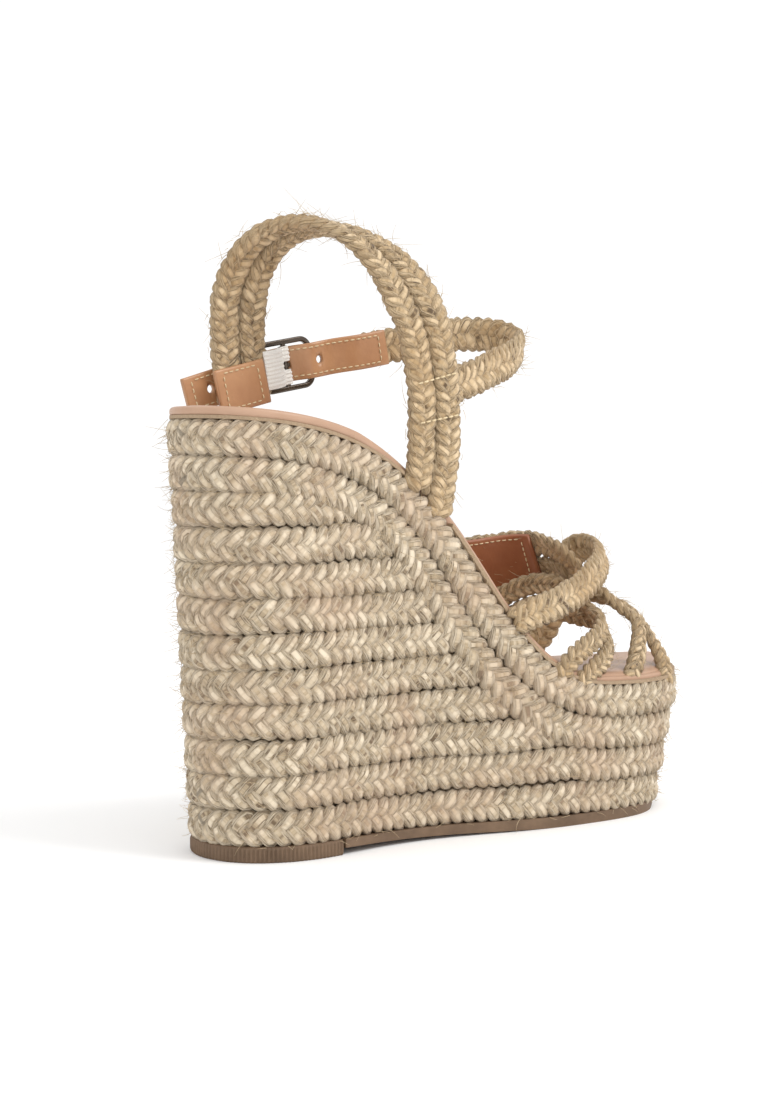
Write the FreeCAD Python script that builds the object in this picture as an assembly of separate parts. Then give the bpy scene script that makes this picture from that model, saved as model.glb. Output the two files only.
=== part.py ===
import FreeCAD, Part
import math
import os

# Wedge sandal, left foot. +X towards the toe, +Y towards the outer side, +Z up.
# Lengths in mm. Stations along the sandal are measured from the back of the heel;
# the frame's origin is the middle of the heel lift's tread, at station ORIGIN.

V = FreeCAD.Vector
ORIGIN = 30.0

# Wedge
LIFT_H = 5.5          # heel lift thickness, and height of the jute's underside at the heel
SOLE_T = 4.0          # outsole thickness under the forefoot
ROW_H = 12.0          # height of one wrapped jute braid
ROWS = 12             # braids stacked at the heel
BASE_ROWS = 2         # the lowest braids, which run all the way round
JUTE_T = 5.0          # thickness of the jute skin over the core
HEEL_TAPER = 7.0      # the heel leans in by this much from the top to the floor
TOE_TAPER = 13.0      # the toe leans in by this much from the top edge to the floor
SIDE_TAPER = 2.0      # the sides lean in by this much at the floor
TOP_Z = LIFT_H + ROWS * ROW_H
TOE_Z = 51.0          # jute height at the forefoot
LIFT_END = 50.0       # station of the lift's square front step
LENGTH = 228.0

# Insole
BOARD_T = 1.2
BINDING_T = 3.2
LINING_T = 1.0
RIM_W = 6.5           # width of the bound rim, which is notched where a strap goes down
RIM_INSET = 0.8       # the rim sits this far inside the jute's outer edge

# Straps
BRAID_W = 11.6        # one flat braid of the heel strap
ANKLE_T = 5.0         # thickness of the heel strap's braids
FRONT_W = 13.0        # single braid and leather of the ankle strap
FRONT_T = 4.0
VAMP_W = 8.4          # a braid of the vamp's double straps
SINGLE_W = 12.0       # the vamp's single braid
VAMP_T = 3.6
LEATHER_T = 1.8
PATCH_W = 20.0        # the vamp's lining patch, before the strap's widening is added
GAP = 0.15            # room between pieces that only rest on each other

# Buckle
FRAME_L = 25.0
FRAME_H = 19.2
CORNER_R = 4.0
WIRE_R = 1.0
BAR = V(67.0, 31.0, 169.9)   # middle of the centre bar, which the elastic and the prong go round
TILT = -10.2          # the buckle is turned about Y by this many degrees, along the ankle strap
EYE_R = WIRE_R + 0.05        # running fit of the prong's eye on the bar
EYE_T = 0.8
PRONG_R = 0.8
ELASTIC_W = 14.0
ELASTIC_T = 0.9
HOLE_R = 1.5
HOLE_PITCH = 12.0

# Half of the jute's outline at its top edge, as (station, offset), inner side then outer side
INNER_SIDE = [(7, 18), (27, 28), (60, 27), (95, 28), (130, 36), (168, 40), (200, 36.5), (220, 22)]
OUTER_SIDE = [(214, 20), (192, 33), (158, 39), (122, 35), (88, 28), (57, 27), (27, 28), (7, 18)]
TIP = (LENGTH, -4)

# Top edge of the jute seen from the side, as (station, height)
TOP_EDGE = [(-14, TOP_Z + 0.4), (14, TOP_Z - 0.6), (38, 145.5), (58, 140), (76, 131), (94, 115.5),
            (108, 97), (122, 77), (137, 61.5), (152, 53.6), (172, TOE_Z), (205, TOE_Z), (244, 56)]

# Strap routes along the middle of the strap, as (x, y, z, half the distance between its braids)
HALF = BRAID_W / 2
HEEL_STRAP = [(85.5, -25.3, 112, HALF), (89.2, -25.6, 130, HALF), (89.5, -27, 150, HALF),
              (87.5, -27, 170, HALF), (83.5, -24.5, 188, HALF), (77.5, -18, 202.5, HALF),
              (69.5, -9, 213, HALF), (61.5, 1, 217.5, HALF), (53.5, 11, 216.5, HALF),
              (47, 18.5, 210, HALF), (42.6, 23, 199, HALF), (41.2, 24.7, 186, HALF),
              (42, 25, 172, HALF), (44.5, 25, 157, HALF)]
FRONT_STRAP = [(84, -22.3, 157, 0), (98, -22.3, 160.6, 0), (122, -19.5, 168, 0), (142, -11, 174, 0),
               (154, 1, 179, 0), (154.5, 11, 182, 0), (146, 18, 183.5, 0), (128, 22.5, 181, 0),
               (110, 24.8, 177.9, 0), (99, 25.6, 175.9, 0)]
BILLET = [(106.5, 21.4, 177.4), (100, 22.4, 176.1), (94, 23.5, 175), (88, 26, 174), (82, 28, 172.8),
          (77, 28.7, 171.8), (71.5, 32.9, 170.8), (67, 34.2, 169.9), (62.5, 32.9, 169.1), (57, 28.7, 168),
          (52, 28.6, 166.6), (46, 28.6, 164.9), (35, 28.8, 161.5), (22, 29.2, 157.6)]
TAB = [(30.5, 21.5, 158.8), (41, 21.5, 161.3), (51.3, 21.5, 163.8)]

# Each rear strap starts low at one side, crosses the crown and goes down at the front of the other.
# The 4th value is half the distance between the strap's braids, the 5th what it is wider than VAMP_W.
REAR_TO_FRONT = [(119, 32, 62, 6, 3.3), (126, 34, 80, 6, 3.3), (141, 34.5, 90.5, 6, 3.3),
                 (158, 33.5, 93, 6, 3.3), (172, 28.5, 95, 6, 3.3), (179.5, 18, 96.5, 5.9, 3.1),
                 (180.5, 7, 96, 5.3, 2), (179.5, -2, 92.5, 4.8, 1), (183.5, -8, 85.5, 4.5, 0.4),
                 (191.5, -15, 79.5, 4.8, 0), (197.5, -21.5, 73, 6, 0), (197.5, -27.5, 65, 7.6, 0),
                 (195, -32, 57, 8.8, 0), (188, -35, 46, 9.8, 0)]
FRONT_TO_REAR = [(116, -31, 62, 0, 0), (121.5, -33.2, 75, 0, 0), (138, -34.2, 81.5, 0, 0),
                 (154, -30.8, 85.3, 0, 0), (167, -26, 89.5, 0, 0), (178.8, -19.5, 93.8, 0, 0),
                 (189, -10, 98.5, 0, 0), (193, 2, 100.5, 0, 0), (194, 11, 97.5, 0, 0),
                 (197, 19, 90, 0, 0), (198.5, 25, 79, 0, 0), (198, 29, 68, 0, 0),
                 (191, 31.5, 57, 0, 0), (184, 32, 46, 0, 0)]
MIDDLE = [(146, -36, 46, 6, 0), (149.5, -36.8, 56, 5.6, 0), (162, -34.5, 62.5, 4.8, 0),
          (172.5, -29.2, 68, 4.4, 0), (177.5, -21.5, 72.5, 4.4, 0), (177.3, -13, 77, 4.4, 0),
          (176, -2, 80.5, 4.4, 0), (173.5, 8, 82, 4.4, 0), (170, 18.5, 78.5, 4.4, 0),
          (162, 27, 70, 4.4, 0), (153, 31.5, 60, 4.4, 0), (147, 33, 46, 4.4, 0)]


# ---------- small helpers ----------

def save(name, shape):
    solid = shape.copy()
    solid.translate(V(-ORIGIN, 0, 0))
    if len(solid.Solids) == 1:
        solid = solid.Solids[0]
    solid.exportStep("parts/" + name + ".step")


def largest(shape):
    return max(shape.Solids, key=lambda s: s.Volume)


def unit(v):
    return v * (1.0 / v.Length)


def catmull(points, steps):
    """Smooth route through points (tuples of any length), with steps samples per stretch."""
    ends = [[2 * a - b for a, b in zip(points[0], points[1])]]
    tail = [[2 * a - b for a, b in zip(points[-1], points[-2])]]
    p = ends + [list(q) for q in points] + tail
    route = []
    for i in range(1, len(p) - 2):
        for k in range(steps):
            t = k / steps
            route.append([0.5 * (2 * b + (c - a) * t + (2 * a - 5 * b + 4 * c - d) * t ** 2
                                 + (3 * b - a - 3 * c + d) * t ** 3)
                          for a, b, c, d in zip(p[i - 1], p[i], p[i + 1], p[i + 2])])
    return route + [p[-2]]


# ---------- the wedge's outline and profile ----------

def outline_points(inset, share):
    """The plan outline moved inwards by inset; share is 1 at the floor and 0 where nothing leans."""
    ring = [(0.0, 0.0)] + [(s, -y) for s, y in INNER_SIDE] + [TIP] + OUTER_SIDE
    moved = []
    for i, (s, y) in enumerate(ring):
        back = ring[i - 1]
        ahead = ring[(i + 1) % len(ring)]
        normal = unit(V(ahead[1] - back[1], back[0] - ahead[0], 0))
        part = 2 * s / LENGTH - 1
        lean = -TOE_TAPER * part if part > 0 else -HEEL_TAPER * part
        moved.append(V(s + lean * share[part > 0], y, 0) - normal * (inset + SIDE_TAPER * share[part > 0]))
    return moved


def outline_wire(inset, z, heel_share=0.0, toe_share=0.0):
    curve = Part.BSplineCurve()
    points = [p + V(0, 0, z) for p in outline_points(inset, (heel_share, toe_share))]
    curve.interpolate(points, PeriodicFlag=True)
    return Part.Wire(curve.toShape())


def wedge_block(inset):
    """The full-height block inside the outline: the heel leans all the way up, the toe to TOE_Z."""
    bottom = outline_wire(inset, 0, 1, 1)
    middle = outline_wire(inset, TOE_Z, 1 - TOE_Z / TOP_Z, 0)
    top = outline_wire(inset, TOP_Z + 10)
    return Part.makeLoft([bottom, middle, top], True, True)


def prism(inset, low=-10, high=TOP_Z + 60):
    face = Part.Face(outline_wire(inset, low))
    return face.extrude(V(0, 0, high - low))


def profile_edge(depth):
    """The top edge moved down by depth, at right angles to itself, as a curve in the XZ plane."""
    pts = []
    for i, (s, z) in enumerate(TOP_EDGE):
        a = TOP_EDGE[max(i - 1, 0)]
        b = TOP_EDGE[min(i + 1, len(TOP_EDGE) - 1)]
        down = unit(V(b[1] - a[1], 0, a[0] - b[0]))
        pts.append(V(s, -70, z) + down * depth)
    pts[0].x = TOP_EDGE[0][0]
    pts[-1].x = TOP_EDGE[-1][0]
    curve = Part.BSplineCurve()
    curve.interpolate(pts)
    return curve.toShape(), pts[0], pts[-1]


def band(upper, lower):
    """Everything between two depths below the top edge, right across the sandal."""
    top, top_a, top_b = profile_edge(upper)
    low, low_a, low_b = profile_edge(lower)
    sides = [Part.makeLine(top_b, low_b), Part.makeLine(low_a, top_a)]
    wire = Part.Wire([top, sides[0], low, sides[1]])
    return Part.Face(wire).extrude(V(0, 140, 0))


def below(depth):
    """Everything lower than a depth below the top edge."""
    top, a, b = profile_edge(depth)
    corner_b = V(b.x, b.y, -20)
    corner_a = V(a.x, a.y, -20)
    lines = [Part.makeLine(b, corner_b), Part.makeLine(corner_b, corner_a), Part.makeLine(corner_a, a)]
    return Part.Face(Part.Wire([top] + lines)).extrude(V(0, 140, 0))


def side_prism(points):
    """A solid right across the sandal with the given outline in the XZ plane."""
    corners = [V(s, -70, z) for s, z in points]
    return Part.Face(Part.makePolygon(corners + corners[:1])).extrude(V(0, 140, 0))


# ---------- wedge, lift and outsole ----------

def underside():
    """What lies above the jute's underside, which drops gently towards the forefoot."""
    line = [(-20, LIFT_H), (LIFT_END, LIFT_H), (140, SOLE_T), (196, SOLE_T), (236, SOLE_T + 5)]
    return side_prism(line + [(236, 260), (-20, 260)])


def make_core(inner, above, under_top):
    return inner.common(above).common(under_top)


def make_trims(shell, above):
    for i, place in enumerate(("upper", "lower")):
        trim = shell.common(band(i * ROW_H, (i + 1) * ROW_H)).common(above)
        save("trim_braid_" + place, largest(trim))


def make_rows(shell, above):
    field = shell.common(below(2 * ROW_H)).common(above)
    for i in range(ROWS - 2):
        low = LIFT_H + i * ROW_H if i else -5.0
        slab = Part.makeBox(280, 140, LIFT_H + (i + 1) * ROW_H - low, V(-20, -70, low))
        kind = "base_braid_" if i < BASE_ROWS else "side_braid_"
        save(kind + "%02d" % (i + 1), largest(field.common(slab)))


def make_lift_and_outsole(block):
    lift = side_prism([(-20, 0), (LIFT_END, 0), (LIFT_END, LIFT_H), (-20, LIFT_H)])
    save("heel_lift", block.common(lift))
    sole = [(LIFT_END, LIFT_H), (140, SOLE_T), (196, SOLE_T), (236, SOLE_T + 5),
            (236, 5), (196, 0), (140, 0), (LIFT_END, LIFT_H - 3)]
    save("outsole", block.common(side_prism(sole)))


# ---------- insole ----------

def make_insole(straps):
    """Board, foam, lining and bound rim, notched where straps go down; the heel strap can lean there."""
    board = prism(RIM_INSET + 0.4).common(band(-BOARD_T, 0))
    top = -(BOARD_T + BINDING_T)
    rim = prism(RIM_INSET).cut(prism(RIM_INSET + RIM_W)).common(band(top, -BOARD_T))
    inner = prism(RIM_INSET + RIM_W)
    foam = inner.common(band(top + LINING_T, -BOARD_T))
    lining = inner.common(band(top, top + LINING_T))
    pieces = {"insole_board": board, "insole_binding": rim, "insole_foam": foam, "sock_lining": lining}
    loose = 4 * GAP
    heel = [ribbon(HEEL_STRAP, from_ankle, BRAID_W + loose, ANKLE_T + loose, side) for side in (-1, 1)]
    for name, piece in pieces.items():
        for strap in straps + heel:
            if piece.BoundBox.intersect(strap.BoundBox):
                piece = piece.cut(strap)
        save(name, largest(piece))


# ---------- straps ----------

def ribbon(route, outward, width, thickness, side=0.0, lift=0.0, stretch=None):
    """A flat strip along a route, offset sideways by side times the route's 4th value.

    The route's 5th value widens it, lift moves it outwards, and stretch keeps only the samples
    between two indices.
    """
    samples = catmull(route, 3)
    first, last = stretch or (0, len(samples) - 1)
    wires = []
    for i in range(first, last + 1):
        q = samples[i]
        a = samples[max(i - 1, 0)]
        b = samples[min(i + 1, len(samples) - 1)]
        along = unit(V(b[0] - a[0], b[1] - a[1], b[2] - a[2]))
        out = outward(q)
        across = unit(along.cross(out))
        out = unit(across.cross(along))
        shift = side * (q[3] if len(q) > 3 else 0.0)
        mid = V(q[0], q[1], q[2]) + across * shift + out * lift
        wider = q[4] if len(q) > 4 else 0.0
        w = across * ((width + wider) / 2)
        t = out * (thickness / 2)
        corners = [mid - w - t, mid + w - t, mid + w + t, mid - w + t]
        wires.append(Part.makePolygon(corners + corners[:1]))
    return Part.makeLoft(wires, True, True)


def from_ankle(q):
    return unit(V(0, q[1], max(q[2] - 192, 0) * 1.2 + 0.01))


def from_leg(q):
    return unit(V(q[0] - 128, q[1] * 1.6, 0)) if q[0] > 128 else unit(V(0, q[1], 0))


def from_foot(q):
    """Sideways low down, and forwards and up at the crown."""
    high = min(max((q[2] - 55) / 40, 0), 1)
    return unit(V(max(q[0] - 150, 0) * 0.7 * high + 0.001, q[1], max(q[2] - 80, 0) * 0.8 + 0.01))


def outer_side(q):
    return V(0, 1, 0)


def double_strap(name, route, outward, width, thickness, ground):
    """Two flat braids side by side; where the ends fan out the braids part."""
    made = []
    for side, label in ((-1, "a"), (1, "b")):
        braid = largest(ribbon(route, outward, width, thickness, side).cut(ground))
        save(name + "_braid_" + label, braid)
        made.append(braid)
    return made


def make_vamp(ground):
    made = double_strap("vamp_outer_rear_strap", REAR_TO_FRONT, from_foot, VAMP_W, VAMP_T, ground)
    made += double_strap("vamp_middle_strap", MIDDLE, from_foot, VAMP_W, VAMP_T, ground)
    single = largest(ribbon(FRONT_TO_REAR, from_foot, SINGLE_W, VAMP_T).cut(ground))
    save("vamp_inner_rear_strap_braid", single)
    return made + [single]


def make_patch():
    """Leather that lines the inside of the outer rear strap, from near its end to the crown."""
    inward = -(VAMP_T + LEATHER_T) / 2 - GAP
    patch = ribbon(REAR_TO_FRONT, from_foot, PATCH_W, LEATHER_T, lift=inward, stretch=(6, 16))
    save("vamp_lining_patch", patch)


# ---------- ankle fastening ----------

def make_billet():
    """Leather with five punched holes; the one in use is worn into a short slot."""
    strip = ribbon(BILLET, outer_side, FRONT_W, LEATHER_T)
    samples = catmull(BILLET, 24)
    in_use = BAR.x + 1.3
    stations = [in_use + k * HOLE_PITCH for k in range(-3, 2)] + [in_use - 0.5, in_use + 0.5]
    for s in stations:
        q = min(samples, key=lambda p: abs(p[0] - s))
        strip = strip.cut(Part.makeCylinder(HOLE_R, 8, V(s, q[1] - 4, q[2]), V(0, 1, 0)))
    save("ankle_billet", strip)


def make_tab():
    """Leather sewn across the inner side of the heel strap's lower end."""
    save("heel_strap_tab", ribbon(TAB, outer_side, 16, LEATHER_T))


def tilted(shape):
    shape.rotate(BAR, V(0, 1, 0), TILT)
    return shape


def make_elastic():
    """Ribbed elastic sewn into the tab's end; it goes round the buckle's bar."""
    reach = EYE_R + 0.05
    route = [(51.9, 21.5), (55.5, 21.7), (59, 23.4), (62.6, 26.4), (66.2, BAR.y - reach - 0.5)]
    run = ribbon([(x, y, BAR.z) for x, y in route], outer_side, ELASTIC_W, ELASTIC_T)
    base = BAR - V(0, 0, ELASTIC_W / 2)
    loop = Part.makeCylinder(reach + ELASTIC_T, ELASTIC_W, base)
    hole = Part.makeCylinder(reach, ELASTIC_W, base)
    slot_h = 2 * PRONG_R + 1.2
    slot = Part.makeBox(8, 10, slot_h, BAR - V(EYE_R + EYE_T + 0.3, 5, slot_h / 2))
    save("elastic_loop", tilted(largest(run.fuse(loop).cut(hole).cut(slot))))


def rod(a, b, r):
    return Part.makeCylinder(r, (b - a).Length, a, b - a)


def rounded_plate(length, height, corner, thickness):
    """A plate round BAR in the XZ plane, with round corners."""
    x = length / 2
    z = height / 2
    k = corner * (1 - math.sqrt(0.5))
    edges = []
    for i, j in ((1, 1), (-1, 1), (-1, -1), (1, -1)):
        by_side = BAR + V(i * x, -thickness / 2, j * (z - corner))
        middle = BAR + V(i * (x - k), -thickness / 2, j * (z - k))
        by_end = BAR + V(i * (x - corner), -thickness / 2, j * z)
        ends = (by_side, by_end) if i == j else (by_end, by_side)
        if edges:
            edges.append(Part.makeLine(last, ends[0]))
        else:
            first = ends[0]
        edges.append(Part.Arc(ends[0], middle, ends[1]).toShape())
        last = ends[1]
    edges.append(Part.makeLine(last, first))
    return Part.Face(Part.Wire(edges)).extrude(V(0, thickness, 0))


def make_buckle():
    """A rounded rectangular frame with softened edges and a round bar across its middle."""
    thick = 2 * WIRE_R
    outer = rounded_plate(FRAME_L, FRAME_H, CORNER_R + WIRE_R, thick)
    hole = rounded_plate(FRAME_L - 2 * thick, FRAME_H - 2 * thick, CORNER_R - WIRE_R, thick)
    ring = outer.cut(hole)
    rims = [e for e in ring.Edges if abs(e.BoundBox.YMax - e.BoundBox.YMin) < 1e-6]
    ring = ring.makeFillet(0.6, rims)
    reach = V(0, 0, FRAME_H / 2 - WIRE_R)
    bar = rod(BAR - reach, BAR + reach, WIRE_R * 0.98)
    save("buckle_frame", tilted(largest(ring.fuse(bar))))


def make_prong():
    """The prong turns on the bar, goes out through the billet and rests on the frame's front side."""
    height = 2 * PRONG_R
    base = BAR - V(0, 0, PRONG_R)
    eye = Part.makeCylinder(EYE_R + EYE_T, height, base)
    hole = Part.makeCylinder(EYE_R, height + 2, base - V(0, 0, 1))
    start = BAR + V(0.75, 1.3, 0)
    bend = BAR + V(3.2, 5.5, 0)
    tip = BAR + V(FRAME_L / 2 + 0.6, WIRE_R + PRONG_R + 0.05, 0)
    pin = rod(start, bend, PRONG_R).fuse([rod(bend, tip, PRONG_R), Part.makeSphere(PRONG_R, bend),
                                          Part.makeSphere(PRONG_R, tip)])
    save("buckle_prong", tilted(largest(eye.fuse(pin).cut(hole))))


# ---------- the whole sandal ----------

def main():
    os.makedirs("parts", exist_ok=True)
    block = wedge_block(0)
    inner = wedge_block(JUTE_T)
    shell = block.cut(inner)
    above = underside()
    ground = below(0)
    save("wedge_core", largest(make_core(inner, above, ground)))
    make_trims(shell, above)
    make_rows(shell, above)
    make_lift_and_outsole(block)
    double_strap("heel_strap", HEEL_STRAP, from_ankle, BRAID_W - 2 * GAP, ANKLE_T, ground)
    make_insole(make_vamp(ground))
    make_patch()
    save("ankle_strap_braid", ribbon(FRONT_STRAP, from_leg, FRONT_W, FRONT_T))
    make_billet()
    make_tab()
    make_elastic()
    make_buckle()
    make_prong()


main()
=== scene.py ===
import math

import bpy
import numpy as np
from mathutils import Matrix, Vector


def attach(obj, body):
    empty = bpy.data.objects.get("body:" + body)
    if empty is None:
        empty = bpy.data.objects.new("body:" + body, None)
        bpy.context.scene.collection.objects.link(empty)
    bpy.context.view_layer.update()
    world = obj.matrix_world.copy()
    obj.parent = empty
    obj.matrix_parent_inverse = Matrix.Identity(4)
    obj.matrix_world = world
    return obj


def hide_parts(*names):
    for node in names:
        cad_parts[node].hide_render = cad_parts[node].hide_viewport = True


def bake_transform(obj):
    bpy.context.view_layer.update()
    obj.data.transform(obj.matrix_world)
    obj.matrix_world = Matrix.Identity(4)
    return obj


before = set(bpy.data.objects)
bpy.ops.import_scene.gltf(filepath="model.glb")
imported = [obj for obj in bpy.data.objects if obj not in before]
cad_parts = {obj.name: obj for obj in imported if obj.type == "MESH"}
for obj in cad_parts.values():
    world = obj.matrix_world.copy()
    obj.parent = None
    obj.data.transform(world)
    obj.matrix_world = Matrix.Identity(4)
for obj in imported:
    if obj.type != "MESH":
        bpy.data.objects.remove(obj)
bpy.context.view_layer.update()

# Wedge sandal, left foot. Sizes and routes are in millimetres, with stations from the back of the heel;
# to_frame() turns them into the frame's metres, whose origin is under the middle of the heel lift.

ORIGIN = 30.0
UP = np.array([0.0, 0.0, 1.0])
TURN = 2 * math.pi

# Bodies
ROOT = "sole_and_vamp"
LOOP = "ankle_loop"

# Wedge
LIFT_H = 5.5
ROW_H = 12.0
ROWS = 12
BASE_ROWS = 2
JUTE_T = 5.0              # what a row takes up inwards of the outline
ROW_OVERLAP = 0.7         # how much wider a plait is than its row, so that no core shows between rows
SIDE_ROW_OVERLAP = 0.8
ROW_PLAIT_T = 5.8
ROW_PERIOD = 15.0         # length of one repeat of the plait
TRIM_OUT = 0.3            # how far the two trim plaits stand out past the rows
SIDE_ROWS_END = 170.0     # the side rows have run under the trim before this station
ROW_END = 0.62            # a side row ends where its middle is this share of its height above the trim's edge
ROW_END_SINK = 2.2        # how far a side row's end is tucked in under the trim
BASE_LIFT = 0.4           # by which the second row rides up on the lowest
TOP_Z = LIFT_H + ROWS * ROW_H
OUTLINE_Z = TOP_Z + 10    # height at which the outline has its full size
TOE_Z = 51.0
LIFT_END = 50.0
BASE_FLOOR = [(LIFT_END, LIFT_H), (140, 4.0), (196, 4.0), (236, 9.0)]   # underside of the lowest row
LENGTH = 228.0
HEEL_TAPER = 7.0
TOE_TAPER = 13.0
SIDE_TAPER = 2.0
INNER_SIDE = [(7, 18), (27, 28), (60, 27), (95, 28), (130, 36), (168, 40), (200, 36.5), (220, 22)]
OUTER_SIDE = [(214, 20), (192, 33), (158, 39), (122, 35), (88, 28), (57, 27), (27, 28), (7, 18)]
TIP = (LENGTH, -4)
TOP_EDGE = [(-14, TOP_Z + 0.4), (14, TOP_Z - 0.6), (38, 145.5), (58, 140), (76, 131), (94, 115.5),
            (108, 97), (122, 77), (137, 61.5), (152, 53.6), (172, TOE_Z), (205, TOE_Z), (244, 56)]

# Straps: widths and thicknesses of their plaits
BRAID_W = 11.6            # each of the heel strap's two
BRAID_T = 5.2
HALF = BRAID_W / 2
VAMP_W = 8.4              # each of two in the vamp's double straps
SINGLE_W = 12.0           # the vamp's single strap
VAMP_T = 4.2
ANKLE_W = 13.0
ANKLE_T = 4.6
STRAP_PERIOD = 11.5

BURIED = 2.0              # depth under the jute from which a strap is left out

# Routes of plaited straps: (x, y, z, half the distance between the strap's plaits, then, on the vamp,
# what is added to their width). Routes of leather strips: (x, y, z).
HEEL_STRAP = [(85.5, -25.3, 112, HALF), (89.2, -25.6, 130, HALF), (89.5, -27, 150, HALF),
              (87.5, -27, 170, HALF), (83.5, -24.5, 188, HALF), (77.5, -18, 202.5, HALF),
              (69.5, -9, 213, HALF), (61.5, 1, 217.5, HALF), (53.5, 11, 216.5, HALF),
              (47, 18.5, 210, HALF), (42.6, 23, 199, HALF), (41.2, 24.7, 186, HALF),
              (42, 25, 172, HALF), (44.5, 25, 157, HALF)]
FRONT_STRAP = [(84, -22.3, 157, 0), (98, -22.3, 160.6, 0), (122, -19.5, 168, 0), (142, -11, 174, 0),
               (154, 1, 179, 0), (154.5, 11, 182, 0), (146, 18, 183.5, 0), (128, 22.5, 181, 0),
               (110, 24.8, 177.9, 0), (99, 25.6, 175.9, 0)]
BILLET = [(106.5, 21.4, 177.4), (100, 22.4, 176.1), (94, 23.5, 175), (88, 26, 174), (82, 28, 172.8),
          (77, 28.7, 171.8), (71.5, 32.9, 170.8), (67, 34.2, 169.9), (62.5, 32.9, 169.1), (57, 28.7, 168),
          (52, 28.6, 166.6), (46, 28.6, 164.9), (35, 28.8, 161.5), (22, 29.2, 157.6)]
TAB = [(30.5, 21.5, 158.8), (41, 21.5, 161.3), (51.3, 21.5, 163.8)]
REAR_TO_FRONT = [(119, 32, 62, 6, 3.3), (126, 34, 80, 6, 3.3), (141, 34.5, 90.5, 6, 3.3),
                 (158, 33.5, 93, 6, 3.3), (172, 28.5, 95, 6, 3.3), (179.5, 18, 96.5, 5.9, 3.1),
                 (180.5, 7, 96, 5.3, 2), (179.5, -2, 92.5, 4.8, 1), (183.5, -8, 85.5, 4.5, 0.4),
                 (191.5, -15, 79.5, 4.8, 0), (197.5, -21.5, 73, 6, 0), (197.5, -27.5, 65, 7.6, 0),
                 (195, -32, 57, 8.8, 0), (188, -35, 46, 9.8, 0)]
FRONT_TO_REAR = [(116, -31, 62, 0, 0), (121.5, -33.2, 75, 0, 0), (138, -34.2, 81.5, 0, 0),
                 (154, -30.8, 85.3, 0, 0), (167, -26, 89.5, 0, 0), (178.8, -19.5, 93.8, 0, 0),
                 (189, -10, 98.5, 0, 0), (193, 2, 100.5, 0, 0), (194, 11, 97.5, 0, 0),
                 (197, 19, 90, 0, 0), (198.5, 25, 79, 0, 0), (198, 29, 68, 0, 0),
                 (191, 31.5, 57, 0, 0), (184, 32, 46, 0, 0)]
MIDDLE = [(146, -36, 46, 6, 0), (149.5, -36.8, 56, 5.6, 0), (162, -34.5, 62.5, 4.8, 0),
          (172.5, -29.2, 68, 4.4, 0), (177.5, -21.5, 72.5, 4.4, 0), (177.3, -13, 77, 4.4, 0),
          (176, -2, 80.5, 4.4, 0), (173.5, 8, 82, 4.4, 0), (170, 18.5, 78.5, 4.4, 0),
          (162, 27, 70, 4.4, 0), (153, 31.5, 60, 4.4, 0), (147, 33, 46, 4.4, 0)]

# Leather strips
LEATHER_T = 1.8
TAB_W = 16.0
PATCH_W = 20.0
PATCH_SAMPLES = slice(20, 54)     # the stretch of the outer rear strap's route that the patch lines
HOLE_R = 1.5
HOLE_PITCH = 12.0
HOLE_PAST_BAR = 1.3       # of the hole in use
HOLE_WEAR = 0.5           # by which the hole in use is longer each way
LEATHER_STEP = 0.8
STITCH_INSET = 1.6
STITCH_PITCH = 2.4
STITCH_SHARE = 0.72       # of the pitch that a stitch takes up
STITCH_R = 0.24

# Buckle and elastic
BAR = np.array([67.0, 31.0, 169.9])
TILT = math.radians(-10.2)
ELASTIC_W = 14.0
ELASTIC_RIBS = 10
ELASTIC_BEND = 1.6        # radius at which it goes round the bar
PRONG_ROOM = 1.5          # half the gap that parts the elastic for the prong
PARTED_FROM = 64.4        # station


# ---------- curves ----------

def to_frame(points):
    moved = np.array(points, float).reshape(-1, 3).copy()
    moved[:, 0] -= ORIGIN
    return moved * 0.001


def unit(v):
    length = np.linalg.norm(v, axis=-1, keepdims=True)
    return v / np.maximum(length, 1e-9)


def square_to(t, out):
    """The outward directions turned square to the directions t."""
    return unit(out - t * np.sum(out * t, 1, keepdims=True))


def circle_angles(count):
    return np.arange(count) / count * TURN


def spline(points, steps, closed=False):
    """Smooth curve through the points with steps samples on each stretch."""
    p = np.array(points, float)
    n = len(p)
    q = np.vstack([p, p[:1]]) if closed else p
    h = np.linalg.norm(np.diff(q, axis=0), axis=1)
    d = np.diff(q, axis=0) / h[:, None]
    a = np.zeros((n, n))
    r = np.zeros_like(p)
    for i in range(n):
        if closed or 0 < i < n - 1:
            before, after = h[i - 1], h[i % len(h)]
            a[i, i - 1] += after
            a[i, i] += 2 * (before + after)
            a[i, (i + 1) % n] += before
            r[i] = 3 * (after * d[i - 1] + before * d[i % len(d)])
        else:
            j, k = (0, 1) if i == 0 else (n - 1, n - 2)
            a[i, j] = 2
            a[i, k] = 1
            r[i] = 3 * d[0 if i == 0 else -1]
    m = np.linalg.solve(a, r)
    t = np.arange(steps)[:, None] / steps
    out = []
    for i in range(len(h)):
        j = (i + 1) % n
        out.append((2 * t**3 - 3 * t**2 + 1) * p[i] + (t**3 - 2 * t**2 + t) * h[i] * m[i]
                   + (3 * t**2 - 2 * t**3) * p[j] + (t**3 - t**2) * h[i] * m[j])
    whole = np.vstack(out)
    return whole if closed else np.vstack([whole, p[-1:]])


def evenly(path, step, closed=False, extra=None):
    """The path resampled at an even step with extra columns carried along, its run and its length."""
    data = path if extra is None else np.hstack([path, extra])
    if closed:
        data = np.vstack([data, data[:1]])
    run = np.concatenate([[0], np.cumsum(np.linalg.norm(np.diff(data[:, :3], axis=0), axis=1))])
    count = max(4, round(run[-1] / step))
    at = np.linspace(0, run[-1], count + 1)
    if closed:
        at = at[:-1]
    made = np.stack([np.interp(at, run, data[:, k]) for k in range(data.shape[1])], 1)
    return made, at, run[-1]


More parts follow.
